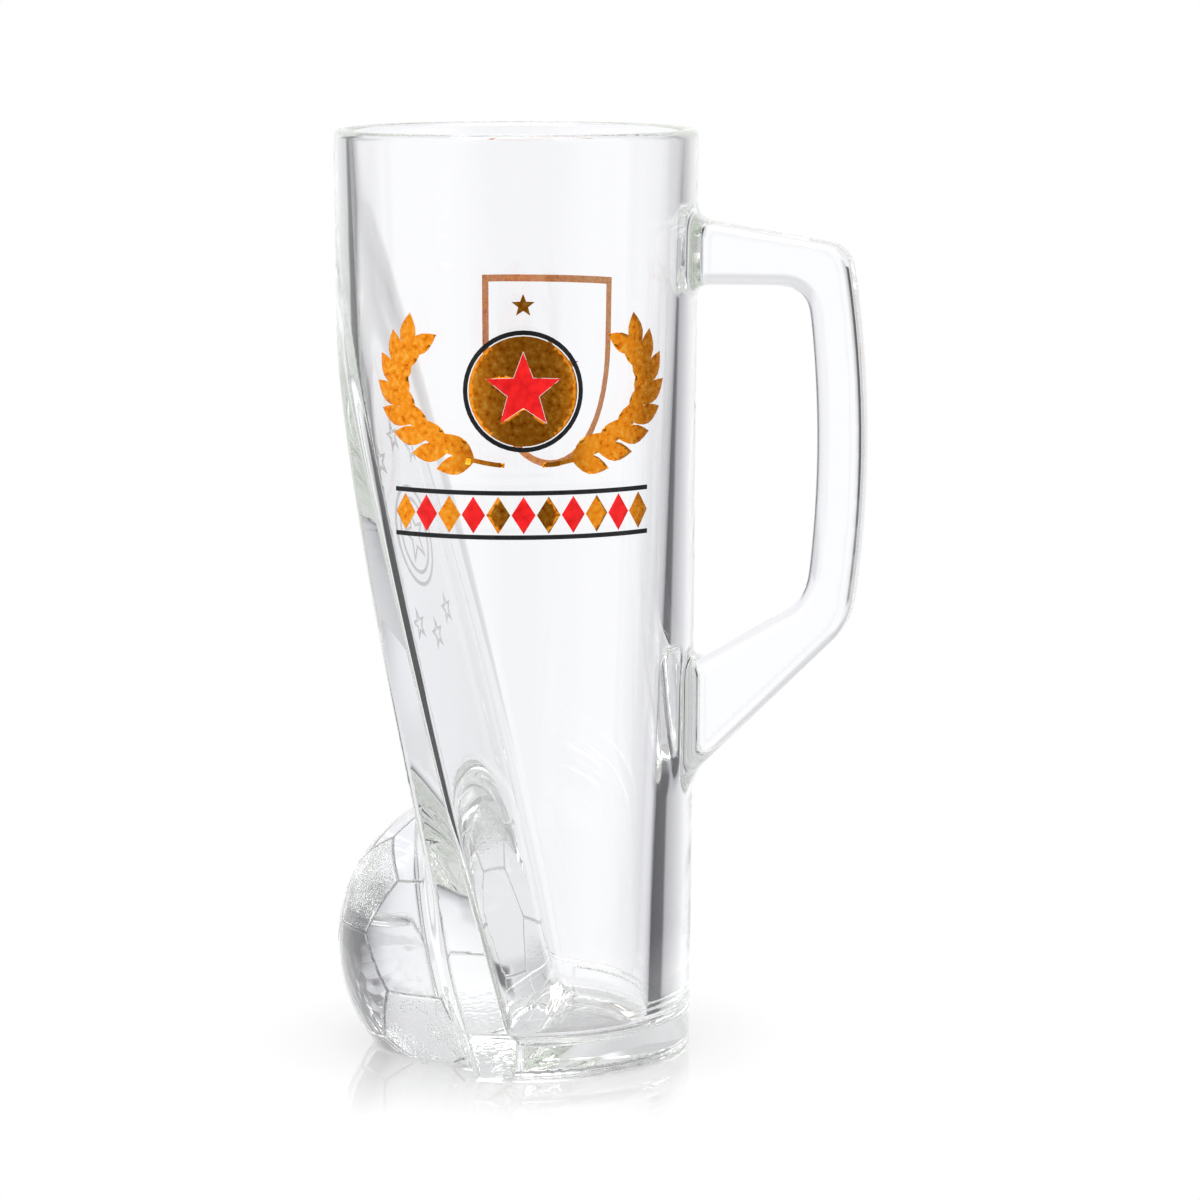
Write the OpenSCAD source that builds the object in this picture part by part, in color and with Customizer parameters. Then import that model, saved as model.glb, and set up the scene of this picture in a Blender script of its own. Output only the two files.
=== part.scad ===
// Football beer mug: a tall pressed-glass mug with a slanted flat, half a football on the flat, and a handle.
// Frame: millimetres, +Z up, origin on the axis of the round wall at table level.
// The handle points towards +X, the flat and the football towards -X, the front print towards -Y.

/* [Wall] */
// Height of the mug
height = 204; // [190:1:215]
// Outer radius at the rim
rim_r = 40; // [39:0.5:43]
// Outer radius at the lower edge of the wall
wall_base_r = 38.6; // [37.5:0.1:39.5]
// Glass thickness at the rim
rim_wall = 3.2; // [2.6:0.1:4]
// Glass thickness of the round wall at the floor
base_wall = 9.5; // [7:0.5:11]

/* [Slanted flat] */
// Angle between the flat and the axis of the mug
flat_tilt = 13.3; // [12:0.1:14.5]
// Distance from the axis to the flat at table level
flat_foot = 2.2; // [0.5:0.1:4]
// Glass thickness behind the flat
flat_wall = 7; // [5:0.5:9]

/* [Foot] */
// Height of the foot
foot_h = 8.6; // [7:0.2:11]
// Height of the cavity's floor above the table
floor_z = 5; // [4:0.2:6]
// Setback of the foot's side from the lower edge of the wall
foot_setback = 0.2; // [0:0.1:1]
// Height of the groove between the foot and the wall
groove_h = 1.3; // [0.8:0.1:2]
// Depth of that groove
groove_depth = 0.8; // [0.4:0.1:1.2]
// Angle from the handle's side at which the foot's corner facets start
facet_start = 77; // [70:1:84]
// Width of the rim that the foot stands on
stand_ring = 7; // [5:0.5:10]
// Depth of the recess under the foot
recess_depth = 1; // [0.6:0.1:1.6]

/* [Football] */
// Radius of the football
ball_r = 34.7; // [32:0.5:36]
// Height of the football's centre above the table
ball_z = 22.5; // [20:0.5:25]
// Depth of the football's centre behind the flat
ball_inset = 1.5; // [0:0.1:3]
// Radius of the seam grooves between the football's panels
seam_r = 0.45; // [0.3:0.05:0.6]

/* [Handle] */
// Thickness of the handle between its flat sides
handle_t = 11; // [9:0.5:14]
// Rounding of the handle's edges
handle_round = 3; // [2:0.25:4]
// Fillet where the handle's arms meet the wall
root_fillet = 3; // [2:0.25:4]
// Clear finger gap between the wall and the ends of the grip
finger_gap = 25.4; // [24:0.2:32]
// Width of the grip, from its inner to its outer face
grip_w = 10.4; // [9:0.2:13]
// Outward bow of the grip's middle past the finger gap's corners
grip_bow = 2.4; // [0:0.2:4]
// Height of the upper arm's top at the wall
upper_top_z = 184.8; // [183:0.2:188]
// Height of the upper arm's top at the outer corner
upper_corner_z = 179.2; // [177:0.2:182]
// Height of the upper arm's underside
upper_under_z = 170.4; // [166:0.2:171]
// Height of the lower arm's top at the inner corner of the grip
lower_inner_z = 101.8; // [99:0.2:105]
// Height of the lower arm's top at the wall
lower_top_z = 86.8; // [84:0.2:90]
// Height of the lower arm's underside at the outer corner of the grip
lower_corner_z = 96.4; // [93:0.2:98]
// Height of the lower arm's underside at the wall
lower_under_z = 61.4; // [58:0.2:64]
// Length of the bends at the grip's outer corners
outer_bend = 5; // [3:0.5:8]
// Length of the bends at the grip's inner corners
inner_bend = 6; // [3:0.5:9]

/* [Prints] */
// Thickness of the fired-on prints
print_t = 0.12; // [0.08:0.02:0.2]
// Clearance between neighbouring print colours
print_gap = 0.25; // [0.15:0.05:0.5]
// Turn of the front print from the -Y direction towards the handle
front_turn = 14; // [0:1:20]
// Height of the middle of the front print
front_z = 147; // [135:1:150]
// Half width of the grain wreath
wreath_w = 29; // [26:0.5:32]
// Half height of the grain wreath
wreath_h = 17; // [14:0.5:19]
// Grains along one side of an ear
ear_grains = 8; // [6:1:9]
// Length of a grain
grain_l = 9; // [7:0.25:10]
// Width of a grain
grain_w = 4.2; // [3:0.2:4.6]
// Radius of the medallion's outer ring
medal_r = 13; // [11:0.5:14]
// Width of the medallion's outer ring
medal_line = 1; // [0.6:0.1:1.4]
// Radius of the star in the medallion
medal_star_r = 8.6; // [6:0.2:9.4]
// Number of lozenges in the band under the wreath
lozenges = 11; // [7:2:13]
// Width of a lozenge
lozenge_w = 5.4; // [4.4:0.2:5.6]
// Height of a lozenge
lozenge_h = 8; // [6:0.5:9]
// Thickness of the rails above and below the lozenges
rail_t = 1; // [0.6:0.1:1.4]
// Height of the middle of the back print
back_z = 146; // [135:1:150]
// Width of the shield on the back
shield_w = 34; // [28:1:38]
// Height of the shield on the back
shield_h = 44; // [36:1:48]
// Line width of the shield on the back
shield_line = 1.6; // [1:0.1:2]
// Height of the middle of the ring emblem on the flat
emblem_z = 112; // [105:1:120]
// Radius of the ring emblem on the flat
emblem_r = 11.5; // [9:0.5:13]
// Line width of the print on the flat
emblem_line = 0.9; // [0.6:0.1:1.4]
// Distance between the rows of stars on the flat
star_row = 11; // [9:0.5:13]

/* [Hidden] */
$fn = 96;

// Overlap of cutting bodies past the surfaces that they cut
over = 1;
// Edge of a block that is larger than the whole mug
span = 600;

rim_z = height - rim_wall / 2;
wall_z = foot_h + groove_h;
floor_r = wall_base_r - base_wall;
// The cavity's side runs out through the inner edge of the rim's bead
mouth_r = rim_r - rim_wall + rim_wall / 64;
// Chamfer between the side of the cavity and its floor, which ends where the foot meets the wall
floor_chamfer = foot_h - floor_z;
foot_r = wall_base_r - foot_setback;
ball_x = flat_x(ball_z) + ball_inset;
glass = [0.86, 0.9, 0.9, 0.6];
gold = [0.85, 0.55, 0.1];
red = [0.85, 0.05, 0.05];
black = [0.1, 0.1, 0.1];
white = [0.96, 0.96, 0.96];

// Outer radius of the wall at a height
function wall_r(z) = wall_base_r + (rim_r - wall_base_r) * (z - wall_z) / (rim_z - wall_z);
// Radius of the cavity at a height
function cavity_r(z) = floor_r + (mouth_r - floor_r) * (z - floor_z) / (rim_z - floor_z);
// Place of the flat along X at a height
function flat_x(z) = -(flat_foot + z * tan(flat_tilt));

// All that lies beyond the flat, or beyond a plane that many millimetres behind it
module beyond_flat(behind = 0) {
    translate([-flat_foot, 0, 0])
        rotate([0, -flat_tilt, 0])
            translate([behind - span, -span / 2, -span / 2])
                cube(span);
}

// The round wall as a solid, grown outwards for the prints
module round_wall(grow = 0) {
    rotate_extrude()
        polygon([
            [0, wall_z],
            [wall_base_r + grow, wall_z],
            [rim_r + grow, rim_z],
            [0, rim_z]
        ]);
}

// The tapered drinking space, with its own flat side, which reaches down into the foot
module cavity() {
    chamfer_r = cavity_r(foot_h);
    difference() {
        rotate_extrude()
            polygon([
                [0, floor_z],
                [chamfer_r - floor_chamfer, floor_z],
                [chamfer_r, foot_h],
                [cavity_r(height + over), height + over],
                [0, height + over]
            ]);
        beyond_flat(flat_wall);
    }
}

module vessel() {
    color(glass)
        difference() {
            blank();
            cavity();
            beyond_flat();
        }
}

// Groove, wall and rim turned as one solid, before the cavity and the flat are cut
module blank() {
    rotate_extrude() {
        polygon([
            [0, foot_h],
            [wall_base_r - groove_depth, foot_h],
            [wall_base_r - groove_depth, wall_z],
            [wall_base_r, wall_z],
            [rim_r, rim_z],
            [0, rim_z]
        ]);
        rim();
    }
}

// Profile of the fire-polished rim: half a round bead on top of the wall
module rim() {
    translate([rim_r - rim_wall / 2, rim_z])
        intersection() {
            circle(d = rim_wall);
            translate([-rim_wall / 2, 0])
                square([rim_wall, rim_wall]);
        }
}

module foot() {
    color(glass)
        difference() {
            cylinder(r = foot_r, h = foot_h);
            beyond_flat();
            for (side = [-1, 1])
                corner_facet(side);
            stand_recess();
            cavity();
        }
}

// The facet runs from the foot's round side to the edge of the football on the flat
module corner_facet(side) {
    from = foot_r * [cos(facet_start), sin(facet_start)];
    mid_z = foot_h / 2;
    edge_y = sqrt(pow(ball_r, 2) - pow(ball_z - mid_z, 2) - pow(flat_x(mid_z) - ball_x, 2));
    to = [flat_x(mid_z), edge_y];
    run = to - from;
    translate([from[0], side * from[1], -over])
        rotate([0, 0, side * atan2(run[1], run[0])])
            translate([-span / 2, side > 0 ? -span : 0, 0])
                cube([span, span, foot_h + 2 * over]);
}

// Shallow recess that leaves a ring to stand on
module stand_recess() {
    difference() {
        translate([0, 0, -over])
            cylinder(r = foot_r - stand_ring, h = recess_depth + over);
        beyond_flat(stand_ring);
    }
}

module football() {
    color(glass)
        difference() {
            intersection() {
                translate([ball_x, 0, ball_z])
                    sphere(r = ball_r);
                beyond_flat();
            }
            translate([-span / 2, -span / 2, -span])
                cube(span);
            translate([ball_x, 0, ball_z])
                seams();
        }
}

// The twelve middles of the football's pentagons, on a unit sphere
ring_lift = atan(1 / 2);
pentagons = concat(
    [[0, 0, 1]],
    [for (i = [0:4]) [cos(72 * i) * cos(ring_lift), sin(72 * i) * cos(ring_lift), sin(ring_lift)]],
    [for (i = [0:4]) [cos(72 * i + 36) * cos(ring_lift), sin(72 * i + 36) * cos(ring_lift), -sin(ring_lift)]],
    [[0, 0, -1]]
);
last_pentagon = len(pentagons) - 1;
// Distance, on the unit sphere, under which two pentagons are neighbours
neighbour_reach = 1.2;

function unit(v) = v / norm(v);
// Corner of the panels a third of the way from one pentagon's middle to the next one's
function panel_corner(a, b) = unit(2 * pentagons[a] + pentagons[b]);
function are_neighbours(a, b) = a != b && norm(pentagons[a] - pentagons[b]) < neighbour_reach;
// A seam is cut only where it reaches the half of the football that stands proud of the flat
function on_outer_half(a, b) =
    let (middle = ball_r * unit(a + b) + [ball_x, 0, ball_z])
        middle[0] < flat_x(middle[2]) + dimple_r && middle[2] > -dimple_r;

// A seam stops short of a panel corner, where a round dimple joins the three seams that meet there
dimple_r = 1.6 * seam_r;
seam_stop = 1.2 * seam_r;

// Seams of the pentagon and hexagon panels
module seams() {
    for (a = [0:last_pentagon])
        for (b = [0:last_pentagon])
            if (are_neighbours(a, b)) {
                if (on_outer_half(panel_corner(a, b), panel_corner(a, b)))
                    translate(ball_r * panel_corner(a, b))
                        sphere(r = dimple_r, $fn = 24);
                if (a < b)
                    seam(panel_corner(a, b), panel_corner(b, a));
                for (c = [b + 1:1:last_pentagon])
                    if (are_neighbours(a, c) && are_neighbours(b, c))
                        seam(panel_corner(a, b), panel_corner(a, c));
            }
}

// Round groove along the great circle from one panel corner to another
module seam(from, to) {
    if (on_outer_half(from, to)) {
        x_axis = unit(from);
        z_axis = unit(cross(from, to));
        y_axis = cross(z_axis, x_axis);
        stop = seam_stop / ball_r * 180 / PI;
        multmatrix([
            [x_axis[0], y_axis[0], z_axis[0], 0],
            [x_axis[1], y_axis[1], z_axis[1], 0],
            [x_axis[2], y_axis[2], z_axis[2], 0],
            [0, 0, 0, 1]
        ])
            rotate([0, 0, stop])
                rotate_extrude(angle = acos(from * to) - 2 * stop)
                    translate([ball_r, 0])
                        circle(r = seam_r, $fn = 24);
    }
}

module handle() {
    color(glass)
        difference() {
            handle_loft();
            round_wall();
        }
}

// Steps along the handle and round its edges
root_steps = 6;
bend_steps = 6;
grip_steps = 8;
edge_steps = 4;
root_depth = 3;

grip_inner_x = wall_r((upper_under_z + lower_inner_z) / 2) + finger_gap;
grip_outer_x = grip_inner_x + grip_w;

// Point on the straight line through two points, at a distance along X
function at_x(a, b, x) = [x, a[1] + (b[1] - a[1]) * (x - a[0]) / (b[0] - a[0])];
function toward(a, b, distance) = a + distance * unit(b - a);
// Smooth bend that leaves one straight for another at a corner
function bend(start, corner, end) =
    [for (i = [0:bend_steps])
        let (s = i / bend_steps)
            pow(1 - s, 2) * start + 2 * s * (1 - s) * corner + pow(s, 2) * end];
// Bow of the grip at a height: none at the corners of the finger gap, most half way between them
function bow(z) =
    let (s = (2 * z - upper_under_z - lower_inner_z) / (upper_under_z - lower_inner_z))
        grip_bow * (1 - s * s);
// Distances from the wall at which the root fillet is stepped, from inside the wall outwards
root_runs = concat(
    [-root_depth],
    [for (i = [0:root_steps]) root_fillet * (1 - cos(90 * i / root_steps))]
);
// Outline of one face of the handle in the XZ plane, from the upper to the lower root
function face_line(upper_root, lower_root, grip_x, upper_z, lower_z, reach) =
    let (
        upper_corner = [grip_x + bow(upper_z), upper_z],
        lower_corner = [grip_x + bow(lower_z), lower_z],
        grip_top = upper_z - reach,
        grip_foot = lower_z + reach,
        grip = [for (i = [0:grip_steps])
            let (z = grip_top + (grip_foot - grip_top) * i / grip_steps)
                [grip_x + bow(z), z]]
    )
        concat(
            [for (run = root_runs) at_x(upper_root, upper_corner, upper_root[0] + run)],
            bend(toward(upper_corner, upper_root, reach), upper_corner, grip[0]),
            [for (i = [1:grip_steps - 1]) grip[i]],
            bend(grip[grip_steps], lower_corner, toward(lower_corner, lower_root, reach)),
            [for (i = [len(root_runs) - 1:-1:0]) at_x(lower_root, lower_corner, lower_root[0] + root_runs[i])]
        );
// Widening of the handle by the root fillet at a distance from the wall
function flare(run) =
    run <= 0 ? root_fillet :
    run >= root_fillet ? 0 :
    root_fillet - sqrt(pow(root_fillet, 2) - pow(root_fillet - run, 2));
// Rounded rectangle across the handle between a point of its outer face and one of its inner face
function section(outer, inner) =
    let (
        middle = (outer + inner) / 2,
        along = unit(outer - inner),
        widen = flare(middle[0] - wall_r(middle[1])),
        half_w = norm(outer - inner) / 2 + widen,
        half_t = handle_t / 2 + widen,
        round_r = handle_round + widen / 2
    )
        [for (corner = [0:3])
            for (i = [0:edge_steps])
                let (
                    turn = 90 * (corner + i / edge_steps),
                    side_w = corner == 0 || corner == 3 ? 1 : -1,
                    side_t = corner < 2 ? 1 : -1,
                    w = side_w * (half_w - round_r) + round_r * cos(turn),
                    t = side_t * (half_t - round_r) + round_r * sin(turn)
                )
                    [middle[0] + along[0] * w, t, middle[1] + along[1] * w]];

// Loft of rounded sections from the upper root, down the grip, to the lower root
module handle_loft() {
    upper_wall = wall_r((upper_top_z + upper_under_z) / 2);
    lower_wall = wall_r((lower_top_z + lower_under_z) / 2);
    outer_face = face_line(
        [upper_wall, upper_top_z],
        [lower_wall, lower_under_z],
        grip_outer_x,
        upper_corner_z,
        lower_corner_z,
        outer_bend
    );
    inner_face = face_line(
        [upper_wall, upper_under_z],
        [lower_wall, lower_top_z],
        grip_inner_x,
        upper_under_z,
        lower_inner_z,
        inner_bend
    );
    rings = len(outer_face);
    sides = 4 * (edge_steps + 1);
    points = [for (i = [0:rings - 1]) each section(outer_face[i], inner_face[i])];
    skin = [
        for (i = [0:rings - 2])
            for (j = [0:sides - 1])
                let (
                    a = i * sides + j,
                    b = i * sides + (j + 1) % sides,
                    c = b + sides,
                    d = a + sides
                )
                    each [[a, b, c], [a, c, d]]
    ];
    first_cap = [[for (j = [sides - 1:-1:0]) j]];
    last_cap = [[for (j = [0:sides - 1]) (rings - 1) * sides + j]];
    polyhedron(points = points, faces = concat(first_cap, skin, last_cap));
}

// A print follows the wall: what is drawn flat is laid round the wall without stretching
function laid_round(points, r) = [for (p = points) [r * sin(p[0] / r * 180 / PI), p[1]]];
function turned(points, angle, at) =
    [for (p = points)
        at + [p[0] * cos(angle) - p[1] * sin(angle), p[0] * sin(angle) + p[1] * cos(angle)]];
// Inner radius of a star as a share of its outer radius
star_waist = 0.42;
ring_steps = 48;
function ring_points(r, steps) = [for (i = [0:steps - 1]) r * [cos(360 * i / steps), sin(360 * i / steps)]];
function star_points(r) =
    [for (i = [0:9]) (i % 2 == 0 ? r : star_waist * r) * [sin(36 * i), cos(36 * i)]];

module flat_shape(points, z) {
    polygon(laid_round(points, wall_r(z)));
}

// Distance from the axis at which a drawing's projection onto the wall starts
print_from = 10;

// Thin layer on the wall where a drawing faces out at a turn from the -Y direction
module on_wall(turn, z) {
    intersection() {
        difference() {
            round_wall(print_t);
            round_wall();
        }
        rotate([0, 0, turn])
            translate([0, 0, z])
                rotate([90, 0, 0])
                    translate([0, 0, print_from])
                        linear_extrude(height = rim_r)
                            children();
    }
}

// Middle of the medallion, from the middle of the front print
medal_y = 3;
medal_field_r = medal_r - medal_line - print_gap;
top_star_r = 2.6;
top_star_y = medal_y + medal_r + 2 * top_star_r;
// Middle of the wreath's ellipse, and the angles on it where an ear starts and ends
wreath_y = 4;
wreath_from = 262;
wreath_to = 158;
stem_w = 1;
// Angle between a grain and the stem
grain_tilt = 26;
// Sideways reach of a grain from the stem
grain_reach = grain_l * sin(grain_tilt) + grain_w / 4;
// Middle of the lozenge band, which hangs under the wreath
band_y = wreath_y - wreath_h - grain_reach - rail_t - 2 * print_gap - lozenge_h / 2;

// Point on the left half of the wreath's ellipse and the direction of growth there
function wreath_at(angle) = [wreath_w * cos(angle), wreath_y + wreath_h * sin(angle)];
function wreath_heading(angle) = atan2(-wreath_h * cos(angle), wreath_w * sin(angle));
// Pointed grain along +X
grain_steps = 6;
grain = concat(
    [for (i = [0:grain_steps]) [grain_l * i / grain_steps, grain_w / 2 * sin(180 * i / grain_steps)]],
    [for (i = [grain_steps - 1:-1:1]) [grain_l * i / grain_steps, -grain_w / 2 * sin(180 * i / grain_steps)]]
);

// One ear of grain that grows up the left half of the wreath
module grain_ear() {
    stem_steps = 24;
    stem_angles = [for (i = [0:stem_steps]) wreath_from + (wreath_to - wreath_from) * i / stem_steps];
    stem_edge = [for (side = [-1, 1])
        [for (angle = stem_angles)
            let (across = wreath_heading(angle) + 90)
                wreath_at(angle) + side * stem_w / 2 * [cos(across), sin(across)]]];
    flat_shape(concat(stem_edge[0], [for (i = [stem_steps:-1:0]) stem_edge[1][i]]), front_z);
    for (i = [1:ear_grains])
        let (angle = wreath_from + (wreath_to - wreath_from) * i / ear_grains)
            for (side = [-1, 1])
                flat_shape(
                    turned(grain, wreath_heading(angle) + side * grain_tilt, wreath_at(angle)),
                    front_z
                );
}

function lozenge(index) =
    let (x = (index - (lozenges - 1) / 2) * lozenge_w, w = lozenge_w / 2 - print_gap / 2, h = lozenge_h / 2)
        [[x - w, band_y], [x, band_y - h], [x + w, band_y], [x, band_y + h]];

module front_gold() {
    color(gold)
        on_wall(front_turn, front_z) {
            grain_ear();
            mirror([1, 0])
                grain_ear();
            difference() {
                flat_shape(turned(ring_points(medal_field_r, ring_steps), 0, [0, medal_y]), front_z);
                flat_shape(turned(star_points(medal_star_r), 0, [0, medal_y]), front_z);
            }
            flat_shape(turned(star_points(top_star_r), 0, [0, top_star_y]), front_z);
            for (i = [0:2:lozenges - 1])
                flat_shape(lozenge(i), front_z);
        }
}

module front_red() {
    color(red)
        on_wall(front_turn, front_z) {
            flat_shape(turned(star_points(medal_star_r - print_gap), 0, [0, medal_y]), front_z);
            for (i = [1:2:lozenges - 2])
                flat_shape(lozenge(i), front_z);
        }
}

module front_black() {
    color(black)
        on_wall(front_turn, front_z) {
            difference() {
                flat_shape(turned(ring_points(medal_r, ring_steps), 0, [0, medal_y]), front_z);
                flat_shape(turned(ring_points(medal_r - medal_line, ring_steps), 0, [0, medal_y]), front_z);
            }
            for (side = [-1, 1])
                flat_shape(rail(band_y + side * (lozenge_h / 2 + print_gap + rail_t / 2)), front_z);
        }
}

// Straight rail as long as the lozenge band
rail_steps = 16;
rail_half = lozenges * lozenge_w / 2;
function rail(y) = concat(
    [for (i = [0:rail_steps]) [rail_half * (2 * i / rail_steps - 1), y - rail_t / 2]],
    [for (i = [rail_steps:-1:0]) [rail_half * (2 * i / rail_steps - 1), y + rail_t / 2]]
);

// Shield with a flat top and sides that curve in to a point
shield_steps = 12;
shield_shoulder = 0.35;
function shield_half(w, h) = concat(
    [[w / 2, h / 2]],
    [for (i = [0:shield_steps])
        let (s = i / shield_steps)
            [w / 2 * cos(90 * s), h / 2 - h * shield_shoulder - h * (1 - shield_shoulder) * sin(90 * s)]]
);
function shield_points(w, h) =
    let (right = shield_half(w, h), last = len(right) - 1)
        concat(right, [for (i = [last - 1:-1:0]) [-right[i][0], right[i][1]]]);
back_star_r = 8;

module back_gold() {
    color(gold)
        on_wall(180, back_z) {
            difference() {
                flat_shape(shield_points(shield_w, shield_h), back_z);
                flat_shape(shield_points(shield_w - 2 * shield_line, shield_h - 2 * shield_line), back_z);
            }
            difference() {
                flat_shape(star_points(back_star_r), back_z);
                flat_shape(star_points(back_star_r - 2 * shield_line), back_z);
            }
        }
}

// Thin layer on the flat where a drawing faces out, measured up the flat from table level
module on_flat() {
    translate([-flat_foot, 0, 0])
        rotate([0, -flat_tilt, 0])
            rotate([90, 0, -90])
                linear_extrude(height = print_t)
                    children();
}

module line_ring(r) {
    difference() {
        circle(r = r);
        circle(r = r - emblem_line);
    }
}

module line_star(r) {
    difference() {
        polygon(star_points(r));
        polygon(star_points(r - 2 * emblem_line));
    }
}

// Ring emblem between rows of star outlines
emblem_inner_r = emblem_r - 3 * emblem_line;
emblem_star_r = emblem_inner_r - 2 * emblem_line;
row_star_r = 4;

module flat_white() {
    color(white)
        on_flat()
            translate([0, emblem_z / cos(flat_tilt)]) {
                line_ring(emblem_r);
                line_ring(emblem_inner_r);
                line_star(emblem_star_r);
                for (side = [-1, 1])
                    for (column = [-1, 0, 1])
                        let (rise = emblem_r + star_row - abs(column) * row_star_r)
                            translate([column * star_row, side * rise])
                                line_star(row_star_r);
            }
}

vessel();
foot();
football();
handle();
front_gold();
front_red();
front_black();
back_gold();
flat_white();
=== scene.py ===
"""Looks of the football beer mug: one clear glass body with fired-on prints, on a pale glossy floor."""

import math

import bmesh
import bpy
import numpy as np
from mathutils import Matrix


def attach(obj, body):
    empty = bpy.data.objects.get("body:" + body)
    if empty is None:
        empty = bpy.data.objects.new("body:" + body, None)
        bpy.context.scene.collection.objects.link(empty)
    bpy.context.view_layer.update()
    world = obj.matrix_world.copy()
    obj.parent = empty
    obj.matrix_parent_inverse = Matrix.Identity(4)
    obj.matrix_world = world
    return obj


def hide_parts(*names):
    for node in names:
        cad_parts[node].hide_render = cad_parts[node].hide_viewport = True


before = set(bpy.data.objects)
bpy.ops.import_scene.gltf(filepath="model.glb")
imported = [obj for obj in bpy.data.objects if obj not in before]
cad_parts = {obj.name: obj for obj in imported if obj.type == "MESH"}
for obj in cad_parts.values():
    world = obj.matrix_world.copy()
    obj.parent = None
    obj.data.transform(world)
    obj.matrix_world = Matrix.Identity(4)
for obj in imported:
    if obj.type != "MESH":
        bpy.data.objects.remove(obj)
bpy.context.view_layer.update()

MM = 0.001

# Sizes in millimetres, the same as the solids have
HEIGHT = 204.0
RIM_R = 40.0
RIM_WALL = 3.2
RIM_Z = HEIGHT - RIM_WALL / 2
WALL_BASE_R = 38.6
BASE_WALL = 9.5
FOOT_H = 8.6
FLOOR_Z = 5.0
FOOT_R = 38.4
GROOVE_H = 1.3
GROOVE_DEPTH = 0.8
WALL_Z = FOOT_H + GROOVE_H
FACET_START = math.radians(77)
STAND_RING = 7.0
RECESS_DEPTH = 1.0
FLAT_TILT = math.radians(13.3)
FLAT_FOOT = 2.2
FLAT_WALL = 7.0
BALL_R = 34.7
BALL_Z = 22.5
BALL_INSET = 1.5
BALL_CENTRE = np.array([-(FLAT_FOOT + BALL_Z * math.tan(FLAT_TILT)) + BALL_INSET, 0.0, BALL_Z])
HANDLE_T = 11.0
FINGER_GAP = 25.4
GRIP_W = 10.4
GRIP_BOW = 2.4
UPPER_TOP_Z = 184.8
UPPER_CORNER_Z = 179.2
UPPER_UNDER_Z = 170.4
LOWER_INNER_Z = 101.8
LOWER_TOP_Z = 86.8
LOWER_CORNER_Z = 96.4
LOWER_UNDER_Z = 61.4
OUTER_BEND = 5.0
INNER_BEND = 6.0
PRINT_T = 0.12

# Roundings that the pressed glass has along its edges
FLAT_EDGE = 1.8
CAVITY_CORNER = 3.0
FLOOR_COVE = 5.0
FOOT_EDGE = 0.5
BALL_FILLET = 7.0
HANDLE_EDGE = 3.0
ROOT_FILLET = 3.2
SEAM_W = 0.45
SEAM_DEPTH = 0.3


# Distances from points to the glass: below nought inside, above it outside

def both(a, b, edge):
    """What two shapes share, with the edge between them rounded."""
    corner = np.hypot(np.maximum(a + edge, 0), np.maximum(b + edge, 0))
    return np.minimum(-edge, np.maximum(a, b)) + corner


def either(a, b, fillet):
    """Two shapes in one, with a fillet where they meet."""
    corner = np.hypot(np.maximum(fillet - a, 0), np.maximum(fillet - b, 0))
    return np.maximum(fillet, np.minimum(a, b)) - corner


def unit(v):
    return v / np.linalg.norm(v, axis=-1, keepdims=True)


def wall_r(z):
    return WALL_BASE_R + (RIM_R - WALL_BASE_R) * (z - WALL_Z) / (RIM_Z - WALL_Z)


def cavity_r(z):
    floor_r = WALL_BASE_R - BASE_WALL
    return floor_r + (RIM_R - RIM_WALL - floor_r) * (z - FLOOR_Z) / (RIM_Z - FLOOR_Z)


def past_flat(x, z):
    return -(x + FLAT_FOOT) * math.cos(FLAT_TILT) - z * math.sin(FLAT_TILT)


def foot_distance(x, y, z, radius):
    """The foot's disc, with a facet at each corner that runs to the football's edge on the flat."""
    start = FOOT_R * np.array([math.cos(FACET_START), math.sin(FACET_START)])
    mid_z = FOOT_H / 2
    end_x = -(FLAT_FOOT + mid_z * math.tan(FLAT_TILT))
    end_y = math.sqrt(BALL_R ** 2 - (BALL_Z - mid_z) ** 2 - (end_x - BALL_CENTRE[0]) ** 2)
    run = np.array([end_x, end_y]) - start
    normal = np.array([run[1], -run[0]]) / np.hypot(*run)
    facet = (x - start[0]) * normal[0] + (np.abs(y) - start[1]) * normal[1]
    side = both(radius - FOOT_R, facet, FOOT_EDGE)
    return both(side, z - FOOT_H, FOOT_EDGE)


# The handle: an outline in the XZ plane, with its two sides rounded

# Length of the handle's ends inside the wall, and points along its bends and its grip
HANDLE_SUNK = 3.0
BEND_STEPS = 8
GRIP_STEPS = 14
# Space in which the distance to the handle is worked out, and the distance given elsewhere
HANDLE_SPACE_X = 30.0
HANDLE_SPACE_Y = 16.0
HANDLE_SPACE_Z = (45.0, 200.0)
HANDLE_FAR = 20.0


def bend(start, corner, end):
    s = np.linspace(0, 1, BEND_STEPS + 1)[:, None]
    return (1 - s) ** 2 * start + 2 * s * (1 - s) * corner + s ** 2 * end


def grip_bow(z):
    s = (2 * z - UPPER_UNDER_Z - LOWER_INNER_Z) / (UPPER_UNDER_Z - LOWER_INNER_Z)
    return GRIP_BOW * (1 - s * s)


def toward(a, b, distance):
    return a + distance * (b - a) / np.hypot(*(b - a))


def handle_face(roots_z, corners_z, grip_x, reach):
    """Outline of one face of the handle, from inside the wall and back into it, upper end first."""
    upper_root, lower_root = [np.array([wall_r(z), z]) for z in roots_z]
    upper_corner, lower_corner = [np.array([grip_x + grip_bow(z), z]) for z in corners_z]
    grip_z = np.linspace(corners_z[0] - reach, corners_z[1] + reach, GRIP_STEPS)
    grip = np.c_[grip_x + grip_bow(grip_z), grip_z]
    return np.vstack([
        toward(upper_root, upper_corner, -HANDLE_SUNK),
        bend(toward(upper_corner, upper_root, reach), upper_corner, grip[0]),
        grip[1:-1],
        bend(grip[-1], lower_corner, toward(lower_corner, lower_root, reach)),
        toward(lower_root, lower_corner, -HANDLE_SUNK),
    ])


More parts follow.
